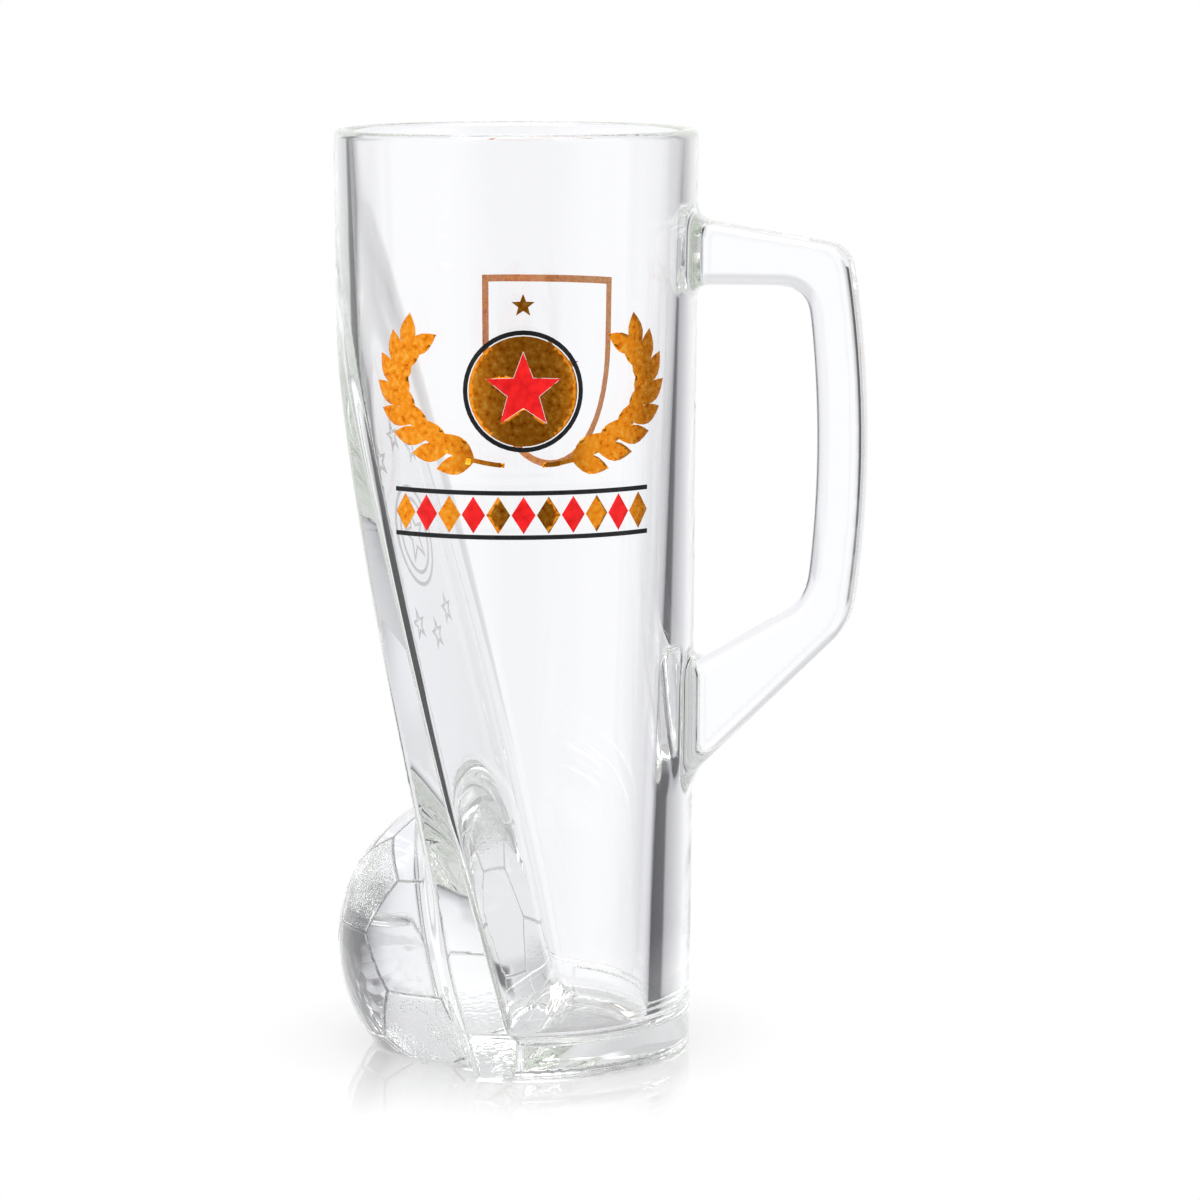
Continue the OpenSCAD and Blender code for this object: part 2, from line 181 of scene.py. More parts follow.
def handle_outline():
    inner_x = wall_r((UPPER_UNDER_Z + LOWER_INNER_Z) / 2) + FINGER_GAP
    outer_x = inner_x + GRIP_W
    outer = handle_face((UPPER_TOP_Z, LOWER_UNDER_Z), (UPPER_CORNER_Z, LOWER_CORNER_Z), outer_x, OUTER_BEND)
    inner = handle_face((UPPER_UNDER_Z, LOWER_TOP_Z), (UPPER_UNDER_Z, LOWER_INNER_Z), inner_x, INNER_BEND)
    return np.vstack([outer, inner[::-1]])


HANDLE_OUTLINE = handle_outline()


def outline_distance(px, pz, outline):
    """Signed distance in a plane to a closed outline."""
    nearest = np.full(px.shape, np.inf)
    inside = np.zeros(px.shape, bool)
    for a, b in zip(outline, np.roll(outline, -1, axis=0)):
        run = b - a
        s = np.clip(((px - a[0]) * run[0] + (pz - a[1]) * run[1]) / (run @ run), 0, 1)
        nearest = np.minimum(nearest, np.hypot(px - a[0] - s * run[0], pz - a[1] - s * run[1]))
        if a[1] != b[1]:
            cross_x = a[0] + run[0] * (pz - a[1]) / run[1]
            inside ^= ((a[1] > pz) != (b[1] > pz)) & (px < cross_x)
    return np.where(inside, -nearest, nearest)


def handle_distance(x, y, z):
    out = np.full(x.shape, HANDLE_FAR)
    low, high = HANDLE_SPACE_Z
    near = (x > HANDLE_SPACE_X) & (np.abs(y) < HANDLE_SPACE_Y) & (z > low) & (z < high)
    side = outline_distance(x[near], z[near], HANDLE_OUTLINE)
    out[near] = both(side, np.abs(y[near]) - HANDLE_T / 2, HANDLE_EDGE)
    return out


# The football's panels: twelve pentagons among hexagons, on a unit ball

RING_LIFT = math.atan(0.5)
# Centres of pentagons that lie nearer than this are neighbours
NEIGHBOUR_REACH = 1.2
# Seams further towards +X than this lie inside the wall and are left out
SEAM_END_X = 0.3
# More than any distance on a unit ball
FAR = 9.0
# A seam is cut this near to the ball's surface, and as far as this behind the flat
SEAM_NEAR = 3.0
SEAM_BEHIND = 2.0


def pentagon_ring(lift, turn):
    """Centres of five pentagons at one height."""
    around = np.radians(72 * np.arange(5) + turn)
    ring_r = math.cos(lift)
    return np.c_[ring_r * np.cos(around), ring_r * np.sin(around), np.full(5, math.sin(lift))]


PENTAGONS = np.vstack([(0, 0, 1), pentagon_ring(RING_LIFT, 0), pentagon_ring(-RING_LIFT, 36), (0, 0, -1)])
PENTAGON_NUMBERS = range(len(PENTAGONS))


def neighbours(a):
    away = np.linalg.norm(PENTAGONS - PENTAGONS[a], axis=1)
    return [b for b in PENTAGON_NUMBERS if b != a and away[b] < NEIGHBOUR_REACH]


def pentagon_sides(a):
    """Pairs of neighbours that are neighbours of each other: one pair for each side of a pentagon."""
    near = neighbours(a)
    return [(b, c) for b in near for c in near if b < c and c in neighbours(b)]


def panel_corner(a, b):
    return unit(2 * PENTAGONS[a] + PENTAGONS[b])


def panel_seams():
    """Ends of every seam: those between hexagons and those round the pentagons."""
    seams = []
    for a in PENTAGON_NUMBERS:
        seams += [(panel_corner(a, b), panel_corner(b, a)) for b in neighbours(a) if a < b]
        seams += [(panel_corner(a, b), panel_corner(a, c)) for b, c in pentagon_sides(a)]
    return [s for s in seams if unit(s[0] + s[1])[0] < SEAM_END_X]


SEAMS = panel_seams()


def seam_distance(directions):
    """Distance along the football's surface to the nearest seam."""
    nearest = np.full(len(directions), FAR)
    for a, b in SEAMS:
        normal = unit(np.cross(a, b))
        beside = np.abs(np.arcsin(np.clip(directions @ normal, -1, 1)))
        within = (directions @ np.cross(normal, a) > 0) & (directions @ np.cross(b, normal) > 0)
        to_end = np.arccos(np.clip(np.maximum(directions @ a, directions @ b), -1, 1))
        nearest = np.minimum(nearest, np.where(within, beside, to_end))
    return nearest * BALL_R


def in_pentagon(directions):
    """1 well inside a pentagon panel and 0 outside it, with a short ramp between."""
    closest = np.argmax(directions @ PENTAGONS.T, axis=1)
    depth = np.full(len(directions), FAR)
    for a in PENTAGON_NUMBERS:
        mine = closest == a
        for b, c in pentagon_sides(a):
            normal = unit(np.cross(panel_corner(a, b), panel_corner(a, c)))
            normal = normal * np.sign(normal @ PENTAGONS[a])
            depth[mine] = np.minimum(depth[mine], np.arcsin(directions[mine] @ normal))
    return np.clip((depth * BALL_R - SEAM_W) / SEAM_W, 0, 1)


def ball_distance(p, with_seams):
    from_centre = p - BALL_CENTRE
    distance = np.linalg.norm(from_centre, axis=1)
    surface = np.full(len(p), BALL_R)
    if with_seams:
        near = (np.abs(distance - BALL_R) < SEAM_NEAR) & (past_flat(p[:, 0], p[:, 2]) > -SEAM_BEHIND)
        across = seam_distance(unit(from_centre[near]))
        surface[near] -= SEAM_DEPTH * np.clip(1 - (across / SEAM_W) ** 2, 0, 1) ** 2
    return distance - surface


def glass_distance(p, with_seams=False):
    x, y, z = p.T
    radius = np.hypot(x, y)
    flat = past_flat(x, z)
    body = both(radius - wall_r(z), WALL_Z - z, FOOT_EDGE)
    neck = np.maximum(radius - WALL_BASE_R + GROOVE_DEPTH, z - WALL_Z - GROOVE_H)
    body = either(body, neck, FOOT_EDGE / 2)
    body = either(body, foot_distance(x, y, z, radius), FOOT_EDGE / 2)
    body = both(body, flat, FLAT_EDGE)
    body = either(body, ball_distance(p, with_seams), BALL_FILLET)
    body = both(body, -z, FOOT_EDGE)
    recess = both(radius - FOOT_R + STAND_RING, flat + STAND_RING, 2 * FOOT_EDGE)
    body = both(body, -np.maximum(recess, z - RECESS_DEPTH), FOOT_EDGE / 2)
    body = either(body, handle_distance(x, y, z), ROOT_FILLET)
    body = both(body, z - HEIGHT, RIM_WALL / 2)
    cavity = both(radius - cavity_r(z), flat + FLAT_WALL, CAVITY_CORNER)
    cavity = both(cavity, FLOOR_Z - z, FLOOR_COVE)
    return both(body, -cavity, RIM_WALL / 2)


def seamed_distance(p):
    return glass_distance(p, with_seams=True)


# A closed skin of quads over a distance field

AXIS_STEPS = np.eye(3, dtype=int)
# Step for the slope of a distance, and the longest move of a point in one round
SLOPE_STEP = 0.01
LONGEST_MOVE = 0.6


def cell_points(grid, d, cells, corners):
    """Mean of the places where the surface crosses the edges of each cell."""
    inside = d < 0
    total = np.zeros((len(cells), 3))
    hits = np.zeros(len(cells))
    for corner in corners:
        for axis in range(3):
            if corner[axis]:
                continue
            a = tuple((cells + corner).T)
            b = tuple((cells + corner + AXIS_STEPS[axis]).T)
            crossed = inside[a] != inside[b]
            share = np.where(crossed, d[a] / np.where(crossed, d[a] - d[b], 1), 0)
            total += np.where(crossed[:, None], grid[a] + share[:, None] * (grid[b] - grid[a]), 0)
            hits += crossed
    return total / hits[:, None]


def crossed_quads(inside, index):
    """One quad round each grid edge that the surface crosses, facing outwards."""
    quads = []
    for axis in range(3):
        u = AXIS_STEPS[(axis + 1) % 3]
        v = AXIS_STEPS[(axis + 2) % 3]
        low = np.take(inside, range(inside.shape[axis] - 1), axis)
        high = np.take(inside, range(1, inside.shape[axis]), axis)
        at = np.argwhere(low != high)
        ring = np.stack([index[tuple((at - o).T)] for o in (u + v, v, 0 * u, u)], 1)
        outward = low[tuple(at.T)]
        quads.append(np.where(outward[:, None], ring, ring[:, ::-1]))
    return np.vstack(quads)


def surface_net(axes, distance):
    """Points and quads of the surface: one point in each grid cell that it crosses."""
    grid = np.stack(np.meshgrid(*axes, indexing="ij"), -1)
    d = distance(grid.reshape(-1, 3)).reshape(grid.shape[:3])
    inside = d < 0
    corners = [np.array((i, j, k)) for i in (0, 1) for j in (0, 1) for k in (0, 1)]
    cell_shape = [n - 1 for n in d.shape]
    count = np.zeros(cell_shape, int)
    for corner in corners:
        count += inside[tuple(slice(c, c + n) for c, n in zip(corner, cell_shape))]
    cells = np.argwhere((count > 0) & (count < len(corners)))
    index = np.full(cell_shape, -1)
    index[tuple(cells.T)] = np.arange(len(cells))
    return cell_points(grid, d, cells, corners), crossed_quads(inside, index)


def outward_normals(p, distance):
    here = distance(p)
    slope = np.stack([distance(p + SLOPE_STEP * AXIS_STEPS[axis]) - here for axis in range(3)], 1)
    return here, unit(slope)


def settle(p, distance, rounds):
    """Move points onto the surface."""
    for _ in range(rounds):
        here, normal = outward_normals(p, distance)
        p = p - normal * np.clip(here, -LONGEST_MOVE, LONGEST_MOVE)[:, None]
    return p


def even_out(p, quads, distance, rounds):
    """Spread the points evenly over the surface, each half way to the mean of its neighbours per round."""
    a = quads.ravel()
    b = np.roll(quads, -1, axis=1).ravel()
    ends, others = np.concatenate([a, b]), np.concatenate([b, a])
    count = np.bincount(ends, minlength=len(p))
    for _ in range(rounds):
        mean = np.stack([np.bincount(ends, p[others, i], len(p)) / count for i in range(3)], 1)
        normal = outward_normals(p, distance)[1]
        shift = (mean - p) / 2
        p = p + shift - normal * np.sum(shift * normal, 1)[:, None]
        p = settle(p, distance, 2)
    return p


def stepped(runs):
    """Grid levels from runs of (start, end, step)."""
    levels = [np.arange(start, end - step / 2, step) for start, end, step in runs]
    return np.concatenate(levels + [[runs[-1][1]]])


def get_points(mesh):
    p = np.empty(3 * len(mesh.vertices))
    mesh.vertices.foreach_get("co", p)
    return p.reshape(-1, 3) / MM


def set_points(mesh, p):
    """Put a mesh's points in place and shade it smoothly."""
    mesh.vertices.foreach_set("co", (p * MM).ravel())
    mesh.polygons.foreach_set("use_smooth", np.ones(len(mesh.polygons), bool))
    mesh.update()


def new_object(name, data):
    o = bpy.data.objects.new(name, data)
    bpy.context.scene.collection.objects.link(o)
    return o


# The glass body: vessel, foot, football and handle in one skin

# Grid of the skin along X, Y and Z: runs of (start, end, step)
GRID = (
    [(-44, 82, 1.1)],
    [(-43, 43, 1.1)],
    [(-1.05, 12, 0.45), (12, 200, 1.5), (200, 206, 0.6)],
)
# Points this near to the football's radius lie on it, and each edge of its quads gets this many cuts
BALL_SKIN = 1.2
BALL_CUTS = 3
# Seams and stipple keep clear of the flat and the table by these margins
SEAM_MARGIN = 0.3
STIPPLE_MARGIN = 0.8
# Stipple fades towards the back and stays off a strip along the football's middle
STIPPLE_MIDDLE = 0.6
STIPPLE_PER_MM = 0.06
STIPPLE_LEAST = 0.2
STIPPLE_STRIP = 6.0
# Points this near to the flat's plane lie on the flat
FLAT_NEAR = 0.05
# Painted shade in the seams: its darkness at a seam's bottom and its fall across half the seam's width
SEAM_SHADE_PEAK = 1.4
SEAM_FALL = 1.6


def on_ball(p, margin):
    from_centre = np.linalg.norm(p - BALL_CENTRE, axis=1)
    on_skin = np.abs(from_centre - BALL_R) < BALL_SKIN
    return on_skin & (past_flat(p[:, 0], p[:, 2]) > margin) & (p[:, 2] > margin)


def refine_ball(mesh):
    """Smaller quads on the football, so that its seams are sharp."""
    bm = bmesh.new()
    bm.from_mesh(mesh)
    centres = np.array([f.calc_center_median() for f in bm.faces]) / MM
    wanted = on_ball(centres, SEAM_MARGIN)
    edges = {e for f, take in zip(bm.faces, wanted) if take for e in f.edges}
    bmesh.ops.subdivide_edges(bm, edges=list(edges), cuts=BALL_CUTS, use_grid_fill=True)
    bm.to_mesh(mesh)
    bm.free()


def set_amount(mesh, name, amount):
    mesh.attributes.new(name, "FLOAT", "POINT").data.foreach_set("value", np.asarray(amount, np.float32))


def mark_surface(mesh, p):
    """Amounts of stipple, of the slanted flat and of the seams at each point, for the material, which paints
    shade on the flat and in the seams.
    """
    outwards = unit(p - BALL_CENTRE)
    towards_front = np.clip(STIPPLE_MIDDLE - STIPPLE_PER_MM * p[:, 1], STIPPLE_LEAST, 1)
    beside_middle = np.clip(np.abs(p[:, 1]) / STIPPLE_STRIP - 1, 0, 1)
    grain = in_pentagon(outwards) * towards_front * beside_middle
    # Painted shade in the grooves, darkest at a seam's bottom
    seam_shade = np.clip(SEAM_SHADE_PEAK - SEAM_FALL * seam_distance(outwards) / SEAM_W, 0, 1)
    set_amount(mesh, "stipple", np.where(on_ball(p, STIPPLE_MARGIN), grain, 0))
    set_amount(mesh, "flat", np.abs(past_flat(p[:, 0], p[:, 2])) < FLAT_NEAR)
    set_amount(mesh, "seam", np.where(on_ball(p, SEAM_MARGIN), seam_shade, 0))


def glass_body():
    p, quads = surface_net([stepped(runs) for runs in GRID], glass_distance)
    p = settle(p, glass_distance, 4)
    p = even_out(p, quads, glass_distance, 3)
    mesh = bpy.data.meshes.new("glass_body")
    mesh.from_pydata((p * MM).tolist(), [], quads.tolist())
    refine_ball(mesh)
    p = settle(get_points(mesh), seamed_distance, 3)
    set_points(mesh, p)
    mesh.normals_split_custom_set_from_vertices(outward_normals(p, seamed_distance)[1].tolist())
    mark_surface(mesh, p)
    return new_object("glass_body", mesh)


# Prints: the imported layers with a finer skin, lifted off the glass by a hair

LIFT = 0.02
PRINT_EDGE = 1.4
PRINT_ROUNDS = 4
SAME_POINT = 1e-6
SHARP_EDGE = math.radians(40)


def print_layer(node, lay):
    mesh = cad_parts[node].data.copy()
    mesh.name = node + "_layer"
    mesh.materials.clear()
    bm = bmesh.new()
    bm.from_mesh(mesh)
    bmesh.ops.remove_doubles(bm, verts=bm.verts, dist=SAME_POINT)
    for _ in range(PRINT_ROUNDS):
        long_edges = [e for e in bm.edges if e.calc_length() > PRINT_EDGE * MM]
        if not long_edges:
            break
        bmesh.ops.subdivide_edges(bm, edges=long_edges, cuts=1)
        bmesh.ops.triangulate(bm, faces=bm.faces)
    bm.to_mesh(mesh)
    bm.free()
    set_points(mesh, lay(get_points(mesh)))
    mesh.set_sharp_from_angle(angle=SHARP_EDGE)
    return new_object(node + "_layer", mesh)


def on_wall(p):
    radius = np.hypot(p[:, 0], p[:, 1])
    glass_r = wall_r(p[:, 2])
    outer = radius - glass_r > PRINT_T / 2
    wanted = glass_r + np.where(outer, PRINT_T, LIFT)
    return np.c_[p[:, :2] * (wanted / radius)[:, None], p[:, 2]]


def on_flat(p):
    outward = np.array([-math.cos(FLAT_TILT), 0, -math.sin(FLAT_TILT)])
    low = past_flat(p[:, 0], p[:, 2]) < PRINT_T / 2
    return p + np.where(low, LIFT, 0)[:, None] * outward


# Nodes of materials and of the studio

def grey(level):
    return (level, level, level)


def feed(tree, socket, value):
    """Link a socket, or set it to a plain number or colour."""
    if isinstance(value, bpy.types.NodeSocket):
        tree.links.new(value, socket)
    elif isinstance(value, tuple):
        socket.default_value = (*value, 1)
    else:
        socket.default_value = value


def fill(tree, node, inputs):
    for name, value in inputs.items():
        feed(tree, node.inputs[name], value)


def add(tree, kind, inputs, **settings):
    """A new node with its settings made and its inputs fed."""
    node = tree.nodes.new(kind)
    for name, value in settings.items():
        setattr(node, name, value)
    fill(tree, node, inputs)
    return node


def object_place(tree):
    return tree.nodes.new("ShaderNodeTexCoord").outputs["Object"]


def noise(tree, scale, detail):
    inputs = {"Vector": object_place(tree), "Scale": scale, "Detail": detail}
    return add(tree, "ShaderNodeTexNoise", inputs).outputs["Fac"]


def amount(tree, name):
    return add(tree, "ShaderNodeAttribute", {}, attribute_name=name).outputs["Fac"]


def ramp(tree, value, stops):
    node = tree.nodes.new("ShaderNodeValToRGB")
    elements = node.color_ramp.elements
    while len(elements) < len(stops):
        elements.new(0.5)
    for element, (position, colour) in zip(elements, stops):
        element.position = position
        element.color = (*colour, 1)
    feed(tree, node.inputs["Fac"], value)
    return node.outputs["Color"]


def calculate(tree, operation, a, b):
    return add(tree, "ShaderNodeMath", {0: a, 1: b}, operation=operation).outputs[0]


def spread(tree, value, start, end, first=0.0, last=1.0):
    """From first to last while a value goes from start to end."""
    inputs = {"Value": value, "From Min": start, "From Max": end, "To Min": first, "To Max": last}
    return add(tree, "ShaderNodeMapRange", inputs).outputs["Result"]


def mix(tree, factor, a, b, blend="MIX"):
    inputs = {"Factor": factor, "A": a, "B": b}
    return add(tree, "ShaderNodeMix", inputs, data_type="RGBA", blend_type=blend).outputs["Result"]


def times(tree, a, b):
    return mix(tree, 1.0, a, b, "MULTIPLY")


def mix_shaders(tree, factor, a, b):
    return add(tree, "ShaderNodeMixShader", {0: factor, 1: a, 2: b}).outputs[0]


def bump(tree, height, strength, distance):
    return add(tree, "ShaderNodeBump", {"Height": height, "Strength": strength, "Distance": distance})


def new_material(name):
    material = bpy.data.materials.new(name)
    material.use_nodes = True
    tree = material.node_tree
    return material, tree, tree.nodes["Principled BSDF"]


# Materials

CLEAR = grey(1.0)
# The slanted flat is painted a little grey, as painted shade, and the football's seams are painted dark at
# the bottom, as painted shade in their grooves
FLAT_SHADE_COLOUR = (0.91, 0.91, 0.92)
SEAM_SHADE_COLOUR = (0.06, 0.06, 0.055)
# Thick glass is faintly green
GLASS_TINT = (0.89, 0.93, 0.85)
GLASS_DENSITY = 2.5
GLASS_IOR = 1.52
# Fineness of the stipple, of the patches that it comes in, and of the ripple of pressed glass
GRAIN_SCALE = 1500
PATCH_SCALE = 90
RIPPLE_SCALE = 45
GRAIN_HEIGHT = 0.0004
RIPPLE_HEIGHT = 0.00012


def glass_normal(tree):
    """Stipple on the football's pentagons and a faint ripple all over."""
    inputs = {"Vector": object_place(tree), "Scale": GRAIN_SCALE}
    grains = add(tree, "ShaderNodeTexVoronoi", inputs).outputs["Distance"]
    patches = ramp(tree, noise(tree, PATCH_SCALE, 2.0), [(0.38, grey(0.1)), (0.6, grey(1.0))])
    stipple = calculate(tree, "MULTIPLY", amount(tree, "stipple"), patches)
    stippled = bump(tree, calculate(tree, "MULTIPLY", grains, stipple), 1.0, GRAIN_HEIGHT)
    rippled = bump(tree, noise(tree, RIPPLE_SCALE, 1.0), 0.25, RIPPLE_HEIGHT)
    feed(tree, rippled.inputs["Normal"], stippled.outputs["Normal"])
    return rippled.outputs["Normal"]


def glass_material():
    material, tree, shader = new_material("clear_glass")
    # Painted shade on the flat: its glass colour is a little grey
    flat = ramp(tree, amount(tree, "flat"), [(0.0, CLEAR), (1.0, FLAT_SHADE_COLOUR)])
    # Painted shade in the seams' grooves: the glass colour goes dark there
    seam = ramp(tree, amount(tree, "seam"), [(0.0, CLEAR), (1.0, SEAM_SHADE_COLOUR)])
    fill(tree, shader, {
        "Base Color": times(tree, flat, seam),
        "Roughness": 0.0,
        "IOR": GLASS_IOR,
        "Transmission Weight": 1.0,
        "Normal": glass_normal(tree),
    })
    tint = add(tree, "ShaderNodeVolumeAbsorption", {"Color": GLASS_TINT, "Density": GLASS_DENSITY})
    feed(tree, tree.nodes["Material Output"].inputs["Volume"], tint.outputs["Volume"])
    return material


def gold_material():
    material, tree, shader = new_material("fired_gold")
    # The gold's colour varies at random as wear, and its brighter, yellower stops are painted highlights
    mottle = noise(tree, 900, 4.0)
    colour = ramp(tree, mottle, [
        (0.3, (0.55, 0.12, 0.006)),
        (0.4, (0.82, 0.24, 0.010)),
        (0.55, (0.90, 0.31, 0.018)),
        (0.72, (0.95, 0.45, 0.07)),
    ])
    rough = ramp(tree, mottle, [(0.3, grey(0.16)), (0.75, grey(0.34))])
    fill(tree, shader, {"Base Color": colour, "Roughness": rough, "Metallic": 1.0})
    return material


def enamel_material(name, low, high, roughness, cover=1.0):
    material, tree, shader = new_material(name)
    mottle = noise(tree, 500, 4.0)
    fill(tree, shader, {
        "Base Color": ramp(tree, mottle, [(0.3, low), (0.62, high)]),
        "Normal": bump(tree, mottle, 0.15, 0.00005).outputs["Normal"],
        "Roughness": roughness,
        "Specular IOR Level": 0.2,
        "Alpha": cover,
    })
    return material


# Stage: a glossy pale floor, a lamp, and a white studio whose dark upright cards draw the edges of the glass

# The floor's sizes are in metres. Each pair holds the distances from the mug's axis where a change starts
# and ends
FLOOR_R = 0.16
FLOOR_Z_M = -0.0004
FLOOR_WHITE = grey(0.97)
MIRROR = 0.42
MIRROR_ROUGH = 0.03
MIRROR_FADE = (0.04, 0.088)
UNDER_FOOT = (0.03, 0.042)
FLOOR_FADE = (0.11, 0.155)
FLOOR_GLOW = 0.7


def floor_material():
    """White, glossy near the mug, gone far off. Light out of the glass sees it only under the foot."""
    material, tree, shader = new_material("pale_floor")
    fill(tree, shader, {"Base Color": FLOOR_WHITE, "Specular IOR Level": 0.0})
    path = tree.nodes.new("ShaderNodeLightPath")
    glow = tree.nodes.new("ShaderNodeEmission")
    clear = tree.nodes.new("ShaderNodeBsdfTransparent")
    mirror = add(tree, "ShaderNodeBsdfGlossy", {"Roughness": MIRROR_ROUGH})
    length = add(tree, "ShaderNodeVectorMath", {0: object_place(tree)}, operation="LENGTH")
    away = length.outputs["Value"]
    glowing = calculate(tree, "MULTIPLY", path.outputs["Is Camera Ray"], FLOOR_GLOW)
    lit = mix_shaders(tree, glowing, shader.outputs[0], glow.outputs[0])
    polished = mix_shaders(tree, spread(tree, away, *MIRROR_FADE, MIRROR, 0.0), lit, mirror.outputs[0])
    from_glass = path.outputs["Is Transmission Ray"]
    unseen = calculate(tree, "MULTIPLY", from_glass, spread(tree, away, *UNDER_FOOT))
    gone = calculate(tree, "MAXIMUM", unseen, spread(tree, away, *FLOOR_FADE))
    surface = mix_shaders(tree, gone, polished, clear.outputs[0])
    feed(tree, tree.nodes["Material Output"].inputs["Surface"], surface)
    return material


def floor():
    mesh = bpy.data.meshes.new("floor")
    bm = bmesh.new()
    bmesh.ops.create_circle(bm, cap_ends=True, radius=FLOOR_R, segments=96)
    bm.to_mesh(mesh)
    bm.free()
    mesh.materials.append(floor_material())
    o = new_object("floor", mesh)
    o.location = (0.0, 0.0, FLOOR_Z_M)


# Brightness of the studio by bearing in degrees: 0 is along +Y, behind the mug, and 90 along -X, at its left.
# A share goes with the height of a direction's tip, from -1 straight down to 1 straight up.
CARD = 0.09
SIDE = 0.64
WHITE = 1.05
PALE = 1.0
DIM = 0.2
# Where light goes that was mirrored inside the glass: cards beside a white panel
TURNED = [
    (-165, 0.85), (-140, 0.62), (-50, SIDE), (-48, CARD), (-32, CARD), (-29, 0.45), (-20, 0.58),
    (-8, 0.72), (0, 0.9), (6, WHITE), (22, WHITE), (30, 0.78), (33, 0.68), (42, 0.62), (93, 0.62),
    (95, CARD), (100, CARD), (102, 0.8), (120, 0.6), (150, 0.55), (165, 0.85),
]
# Where light goes that went straight through: the same panel with a faint stripe, beside other cards
STRAIGHT = [
    (-115, 0.8), (-95, 0.3), (-50, 0.2), (-44, 0.13), (-33, 0.13), (-29, 0.45), (-24, 0.66),
    (-19, 0.84), (-14, 0.92), (-4, 0.97), (2, WHITE), (10.2, WHITE), (10.6, PALE), (13.2, PALE),
    (13.6, WHITE), (24, WHITE), (30, 0.95), (40, 0.85), (50, 0.7), (66, 0.62), (90, 0.7), (94, 0.7),
    (95, CARD), (100, CARD), (102, 0.82), (120, 0.6), (140, 0.5), (165, 0.85),
]
# A card at the left that only straight light sees
LEFT_CARD = [(27, 1), (30, 0.84), (32.5, 0.66), (34, CARD), (43, CARD), (45, 1)]
LEFT_CARD_SHARE = [(-0.2, 0), (-0.185, 1), (-0.1, 1), (-0.05, 0)]
# A grey card beside it, which gives the upper part of the flat its grey
FLAT_CARD = [(22, 1), (24.5, 0.78), (33, 0.74), (35, 1)]
FLAT_CARD_SHARE = [(-0.265, 0), (-0.25, 1), (-0.115, 1), (-0.1, 0)]
# A grey card at the right, at the height that the strip of glass beside the flat sees
STRIP_CARD = [(-26, 1), (-23, 0.88), (-10, 0.82), (-6, 1)]
STRIP_CARD_SHARE = [(-0.215, 0), (-0.2, 1), (-0.165, 1), (-0.15, 0)]
# A white panel low at the left, below those cards
LOW_PANEL = [(30, 0), (36, 1), (80, 1), (90, 0)]
LOW_PANEL_SHARE = [(-0.235, 1), (-0.195, 0)]
LOW_WHITE = grey(0.98)
# A card for light that was mirrored once, which draws the line down the front corner of the cavity
LINE_CARD = [(33, 1), (35, CARD), (101, CARD), (103, 1)]
LINE_CARD_SHARE = [(-0.45, 0), (-0.43, 1), (-0.195, 1), (-0.18, 0)]
# A narrower card above it, for the line's upper end
LINE_TOP = [(47, 1), (49.5, CARD), (62, CARD), (66, 1)]
LINE_TOP_SHARE = [(-0.195, 0), (-0.18, 1), (-0.1, 1), (-0.085, 0)]
# Where light goes that leaves upwards: a grey ceiling, dim at the right
ABOVE = [
    (-150, 0.7), (-110, 0.6), (-95, 0.25), (-60, 0.2), (-36, 0.2), (-28, 0.5), (-18, 0.76), (15, 0.8),
    (28, 0.72), (40, 0.66), (60, 0.76), (150, 0.7),
]
ABOVE_SHARE = [(0.02, 0), (0.12, 1)]
# Where light goes that leaves steeply downwards
BELOW = [(85, 0.95), (98, 0.66), (122, 0.66), (135, 0.95)]
BELOW_SHARE = [(-0.52, 1), (-0.45, 0)]
# What the outside mirrors: white behind and at the left, a panel at the right, a dim room round the camera
MIRRORED = [
    (-165, DIM), (-140, DIM), (-122, 0.95), (-95, 0.95), (-75, 0.3), (-45, 0.35), (-25, WHITE),
    (150, WHITE), (163, 0.6), (176, 0.3),
]
# Tint of all that the glass shows, and of its right, where the share goes by bearing
COOL = (0.972, 0.975, 1.0)
LILAC = (0.975, 0.972, 1.06)
LILAC_SHARE = [(-60, 0), (-48, 1), (-34, 1), (-5, 0)]


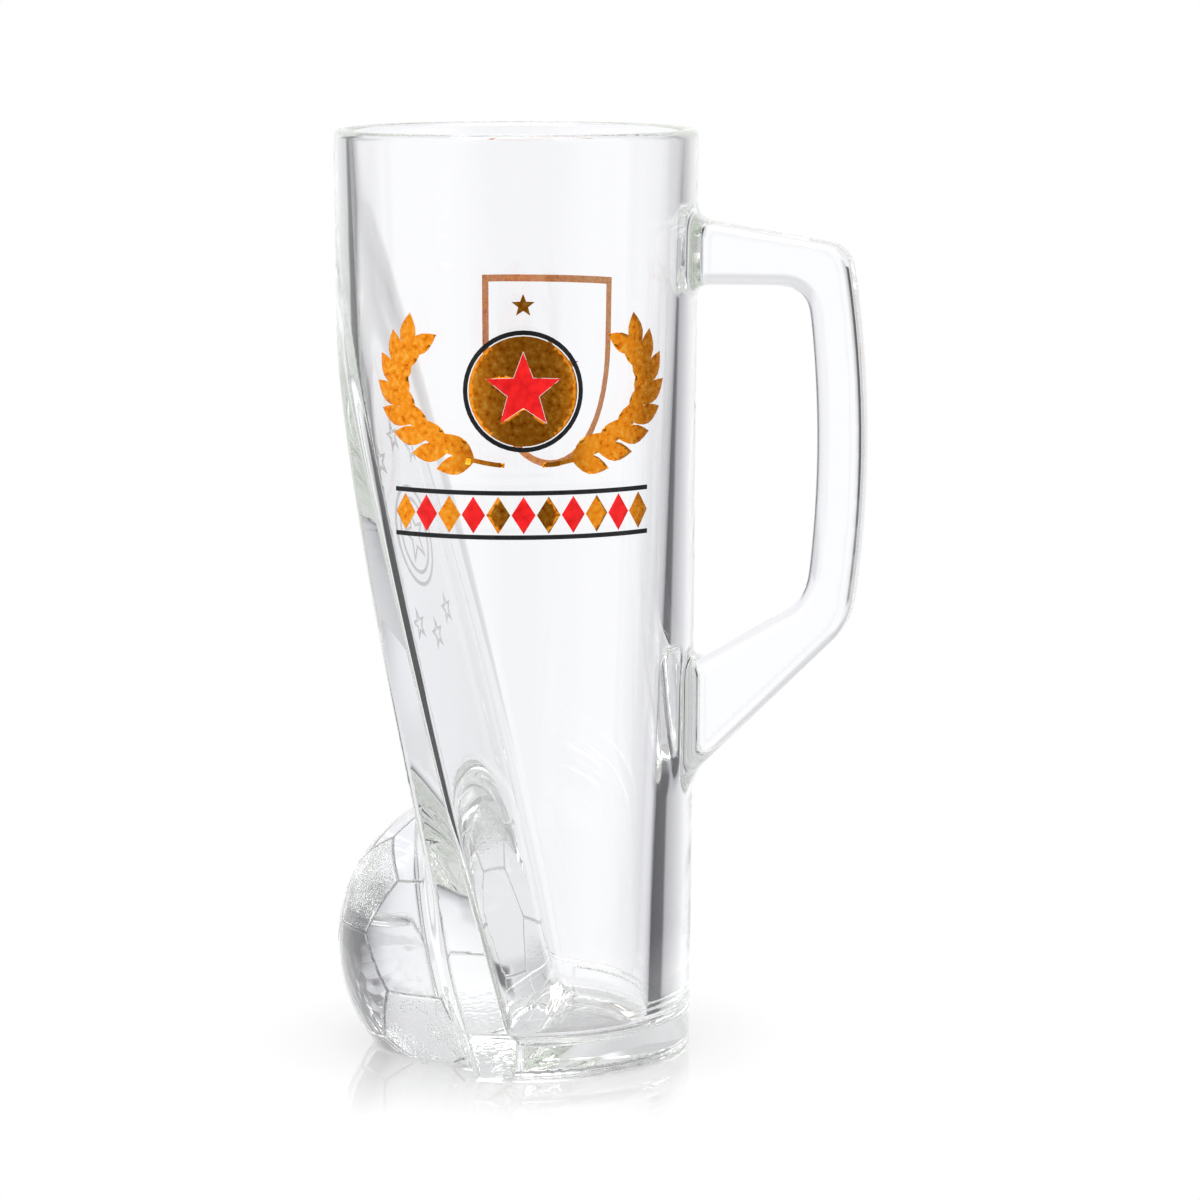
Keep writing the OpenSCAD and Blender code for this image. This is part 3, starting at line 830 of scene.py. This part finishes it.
def surroundings():
    world = bpy.data.worlds.new("white_studio")
    bpy.context.scene.world = world
    world.use_nodes = True
    tree = world.node_tree
    place = tree.nodes.new("ShaderNodeTexCoord").outputs["Generated"]
    tip = add(tree, "ShaderNodeSeparateXYZ", {0: place}).outputs
    leftwards = calculate(tree, "MULTIPLY", tip["X"], -1)
    bearing = spread(tree, calculate(tree, "ARCTAN2", leftwards, tip["Y"]), -math.pi, math.pi)
    height = spread(tree, tip["Z"], -1, 1)

    def by_bearing(levels):
        return ramp(tree, bearing, [(0.5 + degrees / 360, grey(level)) for degrees, level in levels])

    def by_height(levels):
        return ramp(tree, height, [(0.5 + z / 2, grey(level)) for z, level in levels])

    def card(levels, share):
        return mix(tree, by_height(share), grey(1.0), by_bearing(levels))

    path = tree.nodes.new("ShaderNodeLightPath").outputs
    straight = times(tree, by_bearing(STRAIGHT), card(LEFT_CARD, LEFT_CARD_SHARE))
    straight = times(tree, straight, card(FLAT_CARD, FLAT_CARD_SHARE))
    straight = times(tree, straight, card(STRIP_CARD, STRIP_CARD_SHARE))
    low_panel = times(tree, by_height(LOW_PANEL_SHARE), by_bearing(LOW_PANEL))
    straight = mix(tree, low_panel, straight, LOW_WHITE)

    line = mix(tree, by_height(LINE_TOP_SHARE), card(LINE_CARD, LINE_CARD_SHARE), by_bearing(LINE_TOP))
    turned_once = calculate(tree, "LESS_THAN", path["Glossy Depth"], 1.5)
    turned = times(tree, by_bearing(TURNED), mix(tree, turned_once, grey(1.0), line))

    has_turned = calculate(tree, "MINIMUM", path["Glossy Depth"], 1)
    through = mix(tree, has_turned, straight, turned)
    through = mix(tree, by_height(ABOVE_SHARE), through, by_bearing(ABOVE))
    through = mix(tree, by_height(BELOW_SHARE), through, by_bearing(BELOW))
    through = times(tree, through, mix(tree, by_bearing(LILAC_SHARE), COOL, LILAC))
    colour = mix(tree, path["Is Transmission Ray"], by_bearing(MIRRORED), through)
    colour = mix(tree, path["Is Diffuse Ray"], colour, grey(WHITE))
    colour = mix(tree, path["Is Camera Ray"], colour, grey(1.0))
    fill(tree, tree.nodes["Background"], {"Color": colour, "Strength": 1.0})


def put(o, right, up, back, place):
    """Put a lamp or a camera in place, so that it looks away from its back."""
    turn = np.stack([right, up, back], 1)
    rows = [[*row, at] for row, at in zip(turn, place)]
    o.matrix_world = Matrix(rows + [[0, 0, 0, 1]])


LAMP_PLACE = np.array([0.1, -0.2, 1.4])
LAMP_AIM = np.array([0.0, 0.0, 0.1])
LAMP_SIZE = 1.2
LAMP_POWER = 12


def lamp():
    """One soft lamp overhead."""
    data = bpy.data.lights.new("overhead", "AREA")
    data.size = LAMP_SIZE
    data.energy = LAMP_POWER
    back = unit(LAMP_PLACE - LAMP_AIM)
    right = unit(np.cross((0.0, 1.0, 0.0), back))
    put(new_object("overhead", data), right, np.cross(back, right), back, LAMP_PLACE)


# The camera was fitted to the ellipses of the rim and of the base in the photo. Its place is in millimetres
CAMERA_TURN = math.radians(11)
CAMERA_TILT = math.radians(8.245)
CAMERA_AWAY = 1001.242
CAMERA_Z = 244.713
CAMERA_ASIDE = 18.326
SENSOR = 36
FOCAL_PIXELS = 4555.23
PHOTO_PIXELS = 1200


def camera():
    right = np.array([math.cos(CAMERA_TURN), math.sin(CAMERA_TURN), 0])
    level_back = np.array([math.sin(CAMERA_TURN), -math.cos(CAMERA_TURN), 0])
    back = level_back * math.cos(CAMERA_TILT) + np.array([0, 0, math.sin(CAMERA_TILT)])
    place = (level_back * CAMERA_AWAY + np.array([0, 0, CAMERA_Z]) + right * CAMERA_ASIDE) * MM
    data = bpy.data.cameras.new("photo_camera")
    data.sensor_width = SENSOR
    data.lens = SENSOR * FOCAL_PIXELS / PHOTO_PIXELS
    data.clip_start = 0.01
    o = new_object("photo_camera", data)
    put(o, right, np.cross(back, right), back, place)
    bpy.context.scene.camera = o


INKS = {
    "gold_print": gold_material(),
    "red_enamel": enamel_material("red_enamel", (0.62, 0.004, 0.006), (0.85, 0.012, 0.012), 0.22),
    "black_enamel": enamel_material("black_enamel", (0.006, 0.007, 0.008), (0.014, 0.015, 0.016), 0.25),
    "white_enamel": enamel_material("white_enamel", grey(0.8), grey(0.92), 0.35, cover=0.4),
}
# How each print lies on the glass, and its slot
PRINTS = {
    "front_gold": (on_wall, "gold_print"),
    "back_gold": (on_wall, "gold_print"),
    "front_red": (on_wall, "red_enamel"),
    "front_black": (on_wall, "black_enamel"),
    "flat_white": (on_flat, "white_enamel"),
}

glass = glass_body()
glass.data.materials.append(glass_material())
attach(glass, "root")
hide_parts("vessel", "foot", "football", "handle")
for node, (lay, slot) in PRINTS.items():
    layer = print_layer(node, lay)
    layer.data.materials.append(INKS[slot])
    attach(layer, "root")
    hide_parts(node)

floor()
surroundings()
lamp()
camera()
bpy.context.scene.view_settings.view_transform = "Standard"

# Light turns many times within thick glass
BOUNCES = 96
cycles = bpy.context.scene.cycles
cycles.max_bounces = BOUNCES
cycles.glossy_bounces = BOUNCES
cycles.transmission_bounces = BOUNCES
